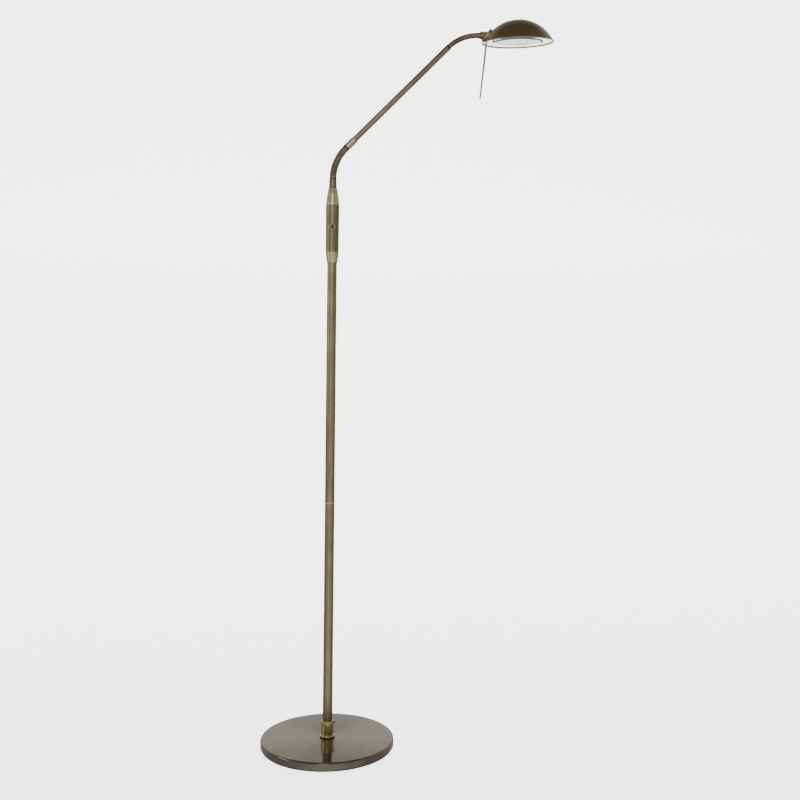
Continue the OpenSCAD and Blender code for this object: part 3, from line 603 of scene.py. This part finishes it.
def make_stand():
    """Base, felt pad, collar, foot ring, pole and joint ring, all on the pole's axis."""
    wall = 1.5
    outline = rounded(
        (5.1, base_top, 0.2), (base_r, base_top, 3.5), (base_r, pad_top, 0.3),
        (base_r - wall, pad_top, 0.3), (base_r - wall, base_top - wall, 2), (5.1, base_top - wall, 0.2),
        steps=12)
    finished(turned("base_cover_spun", outline, STAND, 256), spun_base, "stand", "spun_base", "base_cover")
    outline = rounded((0, pad_top), (pad_r, pad_top, 0.5), (pad_r, 0, 0.5), (0, 0))
    finished(turned("felt_pad", outline, STAND, 192, loop=False), felt, "stand", "felt", "base_pad")
    bore = pole_r + 0.05
    outline = rounded(
        (5.1, base_top, 0.2), (collar_r, base_top, 0.2), (collar_r, collar_top, 0.9),
        (bore, collar_top, 0.3), (bore, base_top + 3), (5.1, base_top + 3))
    finished(turned("collar_turned", outline, STAND), collar_brass, "stand", "collar_brass", "collar")
    ring_r, ring_in, ring_h = ring_high[0], collar_r + 0.05, ring_high[2] - ring_low[2]
    outline = rounded(
        (ring_in, ring_low[2], 0.2), (ring_r, ring_low[2], ring_h * 0.45),
        (ring_r, ring_high[2], ring_h * 0.45), (ring_in, ring_high[2], 0.2), steps=10)
    finished(turned("foot_ring_turned", outline, STAND), collar_brass, "stand", "collar_brass", "foot_ring")
    inner = pole_r - pole_wall
    for name, low, high in (("lower_tube", tube_low[2], tube_high[2]), ("upper_tube", joint_high[2], upper_end)):
        outline = rounded((inner, low, 0.2), (pole_r, low, 0.35), (pole_r, high, 0.35), (inner, high, 0.2))
        finished(turned(name + "_drawn", outline, STAND), antique_long, "stand", "antique_brass", name)
    edge = joint_high[0]
    middle = (joint_low[2] + joint_high[2]) / 2
    outline = np.vstack([
        [[inner, joint_low[2]]], arc((edge, joint_low[2]), 0.5, 180, 90, 8),
        arc((edge - 0.4, middle), 0.4, -60, 60, 8), arc((edge, joint_high[2]), 0.5, 270, 180, 8),
        [[inner, joint_high[2]]]])
    finished(turned("joint_ring_turned", outline, STAND), pale_brass, "stand", "polished_brass", "joint_ring")


def make_handle():
    """Cones, rings, bezel and button of the handle."""
    foot, top = cone_low[2], handle_low[2]
    outline = rounded(
        (pole_r + 0.05, foot, 0.1), (pole_r + 0.45, foot, 0.2), (pole_r + 0.75, foot + 1.4, 0.6),
        (handle_foot_r - 0.25, top - 3.2, 4), (handle_foot_r, top - 0.1, 0.15),
        (handle_foot_r - 1.45, top, 0.1), (handle_foot_r - 1.45, top + 8, 0.3), (pole_r + 0.05, top + 8, 0.1))
    finished(turned("lower_cone_turned", outline, STAND), pale_brass, "stand", "polished_brass", "lower_cone")
    low, high, tip_r = handle_high[2], up_cone_high, neck_ring_high[0] - 0.2
    outline = rounded(
        (5.05, low - 8, 0.1), (handle_foot_r - 1.45, low - 8, 0.3), (handle_foot_r - 1.45, low, 0.1),
        (handle_top_r, low + 0.1, 0.15), (handle_top_r - 0.35, low + 5, 6), (tip_r + 1.4, high - 9, 12),
        (tip_r, high, 0.3), (5.05, high, 0.2))
    finished(turned("upper_cone_turned", outline, STAND), pale_brass, "stand", "polished_brass", "upper_cone")
    outline = rounded(
        (5.05, neck_ring_low[2] + 0.02, 0.1), (neck_ring_high[0], neck_ring_low[2] + 0.02, 1.1),
        (neck_ring_high[0], neck_ring_high[2], 1.1), (5.05, neck_ring_high[2], 0.2))
    finished(turned("neck_ring_turned", outline, STAND), pale_brass, "stand", "polished_brass", "neck_ring")
    middle = (bezel_low[2] + bezel_high[2]) / 2
    front = Place((0, 0, middle), (0, -1, 0), (0, 0, 1))
    face, back = -bezel_low[1], -bezel_high[1]
    bore = button_r + 0.1
    outline = rounded(
        (bore, back, 0.1), (bezel_r, back, 0.1), (bezel_r, face, 0.6), (bezel_r - 0.9, face, 0.3),
        (bezel_r - 1.2, face - 0.25, 0.2), (bore, face - 0.25, 0.25))
    finished(turned("dimmer_bezel_turned", outline, front, 96), antique_round, "stand", "antique_brass", "dimmer_bezel")
    out, flange = -button_low[1], -button_high[1]
    outline = np.vstack([
        rounded((0, flange), (button_flange_r, flange, 0.1), (button_flange_r, flange + 1, 0.1),
                (button_r, flange + 1, 0.05), (button_r, out, 0.3))[:-1],
        arc((0, out + 11.6), 12, -90 + 15, -90, 10)])
    outline = outline[outline[:, 0] <= button_flange_r]
    finished(turned("dimmer_button_moulded", outline, front, 64, loop=False), button_plastic, "button",
             "button_plastic", "dimmer_button")


make_stand()
make_handle()

# ---------------------------------------------------------------- necks and arm


def make_necks():
    """The neck fitting, both wound goosenecks, the sleeve, the arm tube and its tip."""
    top = low_bend.start[2]
    low_r = 6.7
    outline = rounded(
        (2.2, neck_foot - 9, 0.1), (5, neck_foot - 9, 0.2), (5, neck_foot, 0.1), (neck_foot_r + 0.1, neck_foot, 0.3),
        (neck_foot_r + 0.1, neck_foot + 1.4, 0.3), (neck_foot_r - 0.3, neck_foot + 1.6, 0.2),
        (neck_foot_r - 0.3, neck_foot + 2.4, 0.2), (neck_foot_r, neck_foot + 2.7, 0.3),
        (low_r + 0.35, top - 1.3, 0.4), (low_r + 0.35, top, 0.4), (2.2, top, 0.1))
    finished(turned("neck_fitting_turned", outline, STAND), neck_brass, "neck", "antique_brass", "neck_fitting")
    rows = (
        ("low", low_bend, "lower_link", ["neck"], ["arm"], 6.8, 2.7, 0.75, low_wound),
        ("up", up_bend, "upper_link", ["arm"], ["ferrule"], 5.1, 2.2, 0.6, up_wound))
    for name, bend, link, before, after, radius, pitch, depth, finish in rows:
        count = len(bend.joint_names)
        bodies = before + [f"{link}_{i + 1}" for i in range(count - 1)] + after
        step = bend.length / count
        for i in range(count):
            piece = wound(f"{name}_winding_{i + 1}", bend, i * step, (i + 1) * step, radius, pitch, depth)
            finished(piece, finish, None, "gooseneck_brass")
            if i < count - 1:
                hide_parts(bodies[i + 1])
            ends = bend.at(np.array([i * step, (i + 1) * step]))[0] * MM
            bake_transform(piece)
    sleeve_len, sleeve_r, arm_r = 23.0, 6.9, 5.7
    outline = rounded(
        (1.6, 0, 0.1), (low_r + 0.35, 0, 0.3), (low_r + 0.35, 1.3, 0.3), (sleeve_r - 0.1, 1.8, 0.4),
        (sleeve_r, sleeve_len - 5, 2), (sleeve_r + 0.25, sleeve_len - 1.4, 0.7), (sleeve_r, sleeve_len, 0.35),
        (arm_r + 0.05, sleeve_len, 0.15), (arm_r + 0.05, 4, 0.1), (1.6, 4, 0.1))
    finished(turned("arm_sleeve_turned", outline, arm_place), sleeve_brass, "arm", "polished_brass", "arm_sleeve")
    ring = 3.0
    outline = rounded(
        (arm_r - 1, 4, 0.1), (arm_r, 4, 0.2), (arm_r, arm_len - ring, 0.3), (arm_r - 1, arm_len - ring, 0.1))
    finished(turned("arm_tube_drawn", outline, arm_place), arm_brass, "arm", "antique_brass", "arm_tube")
    outline = rounded(
        (1.2, arm_len - ring - 12, 0.1), (arm_r - 1.05, arm_len - ring - 12, 0.2), (arm_r - 1.05, arm_len - ring, 0.1),
        (arm_r + 0.1, arm_len - ring, 0.3), (arm_r + 0.1, arm_len, 0.5), (1.2, arm_len, 0.1))
    finished(turned("arm_tip_turned", outline, arm_place), dark_local, "arm", "dark_metal", "arm_tip")


fitting_top = low_bend.start[2]
neck_brass = brushed("neck_brass", (0.20, 0.165, 0.10), (0.33, 0.28, 0.18), 0.25, wear=0.6,
                     band=(fitting_top - 1.3, fitting_top + 0.1))
arm_brass = brushed("arm_brass", (0.25, 0.205, 0.12), (0.38, 0.32, 0.20), 0.27)
dark_local = plain_metal("blackened_ring", (0.05, 0.04, 0.03), 0.3, source="local")
make_necks()

# ---------------------------------------------------------------- head


def make_head_joint():
    """Ferrule on the upper gooseneck, hub and saddle plate on the shade."""
    outline = rounded(
        (1.2, 0, 0.1), (5.3, 0, 0.4), (5.3, ferrule_len, 0.4), (3, ferrule_len, 0.1),
        (3, box_along("head_ferrule"), 0.3), (1.2, box_along("head_ferrule"), 0.1))
    finished(turned("ferrule_turned", outline, ferrule_place, 96), neck_brass, "ferrule", "antique_brass", "head_ferrule")
    hub_r = 6.8
    start = ferrule_len + turn_gap
    outline = rounded(
        (3.05, start, 0.1), (hub_r - 0.5, start, 0.4), (hub_r, start + 1.4, 0.5), (hub_r, start + 7, 0.5),
        (hub_r - 0.3, start + 7.4, 0.2), (hub_r, start + 7.8, 0.2), (hub_r, start + hub_reach + 1.5),
        (3.05, start + hub_reach + 1.5))
    finished(turned("hub_turned", outline, ferrule_place, 96), neck_brass, "head", "antique_brass", "head_boss")
    tilt = math.pi / 2 - math.asin((axis_drop + sphere_drop) / sphere_r)
    out = dome_place.axes.T @ np.array([-math.sin(tilt), 0, math.cos(tilt)])
    middle = dome_place.point(0, 0, -sphere_drop)
    saddle = Place(middle, out, dome_place.axes[1])
    plate_r, plate_h = 14.0, 3.4
    seat = math.sqrt(sphere_r ** 2 - plate_r ** 2)
    under = arc((0, 0), sphere_r + 0.03, 90, 90 - math.degrees(math.asin(plate_r / sphere_r)), 16)
    outline = np.vstack([
        under, rounded((plate_r, seat + 0.3), (plate_r, sphere_r + plate_h, 1.5), (8, sphere_r + plate_h + 0.2, 1), (0, sphere_r + plate_h + 0.2))])
    finished(turned("saddle_plate_turned", outline, saddle, 128, loop=False), saddle_brass, "head", "antique_brass")


def box_along(node):
    """How far a node reaches along the head's axis from the ferrule's foot."""
    co = np.array([v.co for v in frame["nodes"][node].data.vertices]) / MM
    return float(((co - ferrule_place.origin) @ head_axis).max())


def make_head():
    """Shade, reflector, glass and rod."""
    wall = 0.9
    inner_r = sphere_r - wall
    rim = math.degrees(math.asin(sphere_drop / sphere_r))
    inner_rim = math.degrees(math.asin((sphere_drop + 0.6) / inner_r))
    bead = 1.1
    outline = np.vstack([
        arc((0, -sphere_drop), sphere_r, 90, rim + 1.4, 64),
        arc((dome_r - bead + 0.1, bead), bead, 60, -190, 20),
        arc((0, -sphere_drop), inner_r, inner_rim + 0.6, 90, 64)])
    finished(turned("shade_spun", outline, dome_place, 192, loop=False), bronze_shade, "head", "aged_bronze", "shade")
    flange_z, t, mouth, crown, bowl = 6.0, 0.8, 43.0, 30.0, 20.0
    flange_r = math.sqrt(inner_r ** 2 - (flange_z + t + sphere_drop) ** 2) - 0.6
    outline = rounded(
        (0, flange_z + bowl + t), (crown + t, flange_z + bowl + t, 5), (mouth + t, flange_z + t, 2),
        (flange_r, flange_z + t, 0.3), (flange_r, flange_z, 0.3), (mouth, flange_z, 2.6),
        (crown, flange_z + bowl, 4.4), (0, flange_z + bowl))
    finished(turned("reflector_pressed", outline, dome_place, 192, loop=False), glowing_white_sheet, "head",
             "reflector_sheet", "reflector")
    glass_low, glass_h, glass_r = flange_z - 3.05, 3.0, 46.0
    outline = rounded(
        (0, glass_low), (glass_r, glass_low, 0.4), (glass_r, glass_low + glass_h, 0.4), (0, glass_low + glass_h))
    finished(turned("cover_glass_cut", outline, dome_place, 160, loop=False), flat_glass, "head", "clear_glass", "cover_glass")
    rod_top, rod_low, rod_len, point, lean = 2.4, 1.7, 115.0, 8.0, 6.5
    foot_z = flange_z + t + 0.1
    rod_x = rod_top + 0.6 - math.sqrt(inner_r ** 2 - (foot_z + 1.2 + sphere_drop) ** 2)
    down = dome_place.axes.T @ np.array([-math.sin(math.radians(lean)), 0, -math.cos(math.radians(lean))])
    rod_place = Place(dome_place.point(rod_x, 0, foot_z - 0.05), down, dome_place.axes[1])
    outline = rounded(
        (0, 0.4), (rod_top, 0.4, 0.3), (rod_low, rod_len - point, 1.5), (0.25, rod_len, 0.1), (0, rod_len + 0.1))
    finished(turned("steering_rod", outline, rod_place, 48, loop=False), rod_brass, "head", "polished_brass", "handle_rod")


saddle_brass = brushed("saddle_brass", (0.36, 0.28, 0.13), (0.52, 0.43, 0.24), 0.24, along=False)
make_head_joint()
make_head()

# ---------------------------------------------------------------- pieces kept from the frame

KEPT = {
    handle_cad: ["handle_body"],
    zinc: ["base_plate", "plate_screws", "stem_nipple", "stem_washer", "stem_nut", "stem_plug", "pole_coupler",
           "neck_washer", "neck_nut", "head_washer", "head_nut", "inner_boss", "reflector_post", "rod_bracket",
           "glass_washers"],
    dark_metal: ["collar_screw", "boss_screw", "glass_screws"],
    iron: ["base_weight"],
    black_plastic: ["cable_bush"],
    circuit_case: ["dimmer_module"],
    sheath: ["inner_flex"],
    ceramic: ["lamp_holder"],
    lamp_glass: ["lamp_capsule"],
}
for finish, names in KEPT.items():
    for node_name in names:
        finished(frame["nodes"][node_name], finish)

# ---------------------------------------------------------------- room, light and camera


def make_room():
    """A pale floor that curves up into a pale wall far behind."""
    half, back, rise, bend_r = 6.0, 5.0, 6.0, 2.0
    t = np.linspace(0, math.pi / 2, 16)
    y = np.concatenate([[-6.0], back - bend_r + bend_r * np.sin(t), [back]])
    z = np.concatenate([[0.0], bend_r - bend_r * np.cos(t), [rise]])
    co = [(x, float(b), float(c)) for b, c in zip(y, z) for x in (-half, half)]
    faces = [(2 * i, 2 * i + 1, 2 * i + 3, 2 * i + 2) for i in range(len(y) - 1)]
    mesh = bpy.data.meshes.new("room")
    mesh.from_pydata(co, [], faces)
    mesh.shade_smooth()
    room = bpy.data.objects.new("room", mesh)
    bpy.context.scene.collection.objects.link(room)
    f = Finish("pale_room", Roughness=0.9, Emission_Color=(1, 1, 1, 1), Emission_Strength=3.2)
    f.varies("Base Color", f.colour(f.noise(f.object_mm(), 0.002, 2.0), (0.93, 0.93, 0.92), (0.95, 0.95, 0.94)))
    mesh.materials.append(f.material)
    room.visible_glossy = False


def make_studio():
    """What the metal mirrors: a soft bright front, a pale band high behind, a dim ceiling."""
    world = bpy.data.worlds.new("studio")
    world.use_nodes = True
    n = Nodes(world.node_tree)
    x, y, z = n.parts(n.add("ShaderNodeTexCoord", {}, {}, "Generated"))
    below_ceiling = 1 - z.step_up(0.6, 0.92)
    front = n.add("ShaderNodeMath", {"operation": "MAXIMUM"}, {0: 0 - y, 1: 0.0})
    behind = n.add("ShaderNodeMath", {"operation": "MAXIMUM"}, {0: y, 1: 0.0})
    band = behind * z.step_up(0.0, 0.25)
    glow = 0.18 + below_ceiling * (front * front * (0.42 - z * 0.8) + band * 0.5 + 0.2)
    background = n.tree.nodes["Background"]
    background.inputs["Color"].default_value = (1, 1, 1, 1)
    n.tree.links.new(glow.socket, background.inputs["Strength"])
    bpy.context.scene.world = world


def soft_light(name, place, target, size, power, tone=(1, 1, 1)):
    """A square soft light that faces a target, in metres."""
    data = bpy.data.lights.new(name, "AREA")
    data.size = size
    data.energy = power
    data.color = tone
    light = bpy.data.objects.new(name, data)
    bpy.context.scene.collection.objects.link(light)
    aim = Vector(target) - Vector(place)
    light.location = place
    light.rotation_mode = "QUATERNION"
    light.rotation_quaternion = aim.to_track_quat("-Z", "Y")


def make_camera():
    """The camera stands in front at table height, turned a little right, up and clockwise."""
    data = bpy.data.cameras.new("camera")
    data.sensor_width = 36
    data.lens = 849.4 / 800 * 36
    data.clip_start, data.clip_end = 0.05, 100
    camera = bpy.data.objects.new("camera", data)
    bpy.context.scene.collection.objects.link(camera)
    yaw, pitch, roll = 0.0814, 0.0171, 0.00874
    ahead = np.array([math.sin(yaw) * math.cos(pitch), math.cos(yaw) * math.cos(pitch), math.sin(pitch)])
    right = unit(np.cross(ahead, [0, 0, 1]))
    up = np.cross(right, ahead)
    axes = np.array([
        math.cos(roll) * right + math.sin(roll) * up,
        -math.sin(roll) * right + math.cos(roll) * up,
        -ahead])
    matrix = np.eye(4)
    matrix[:3, :3] = axes.T
    matrix[:3, 3] = (0, -1.619, 0.624)
    camera.matrix_world = Matrix(matrix.tolist())
    bpy.context.scene.camera = camera


make_room()
make_studio()
soft_light("front", (-0.35, -2.6, 1.95), (0, 0, 1.0), 0.9, 7)
soft_light("left", (-3.0, -0.6, 1.4), (0, 0, 0.8), 1.2, 8)
make_camera()
